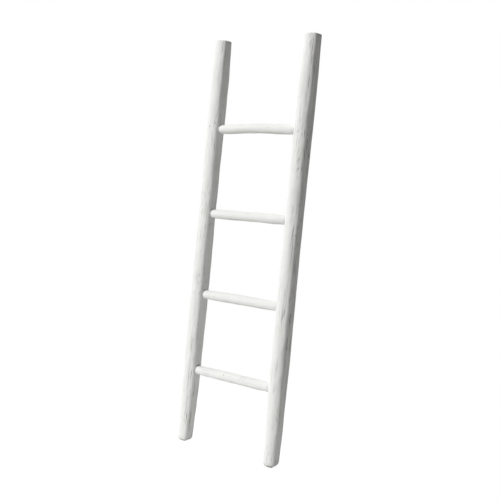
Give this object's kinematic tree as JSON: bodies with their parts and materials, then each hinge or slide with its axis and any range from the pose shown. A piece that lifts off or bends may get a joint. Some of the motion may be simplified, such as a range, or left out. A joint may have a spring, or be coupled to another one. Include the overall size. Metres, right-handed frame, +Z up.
{
  "type": "decorative ladder",
  "caption": "Leaning decorative ladder of whitewashed wood: thick hand-finished rails joined by round rungs, to stand against a wall and hang blankets or towels on.",
  "frame": {"origin": "on the floor, in the middle of the floor space that the leaning ladder covers", "axes": "+X to the right along the rungs, +Y back to the wall that the ladder leans on, +Z up"},
  "size_m": [0.45, 0.2895, 1.4843],
  "materials": {
    "rail_wood": "matt whitewash with grey grain showing through",
    "rung_wood": "matt whitewash with grey grain showing through",
    "nail_steel": "dull, darkened"
  },
  "bodies": {
    "root": {"rail_left": "rail_wood", "rail_right": "rail_wood", "rung_bottom": "rung_wood", "rung_lower": "rung_wood", "rung_upper": "rung_wood", "rung_top": "rung_wood", "nails": "nail_steel"}
  },
  "joints": []
}
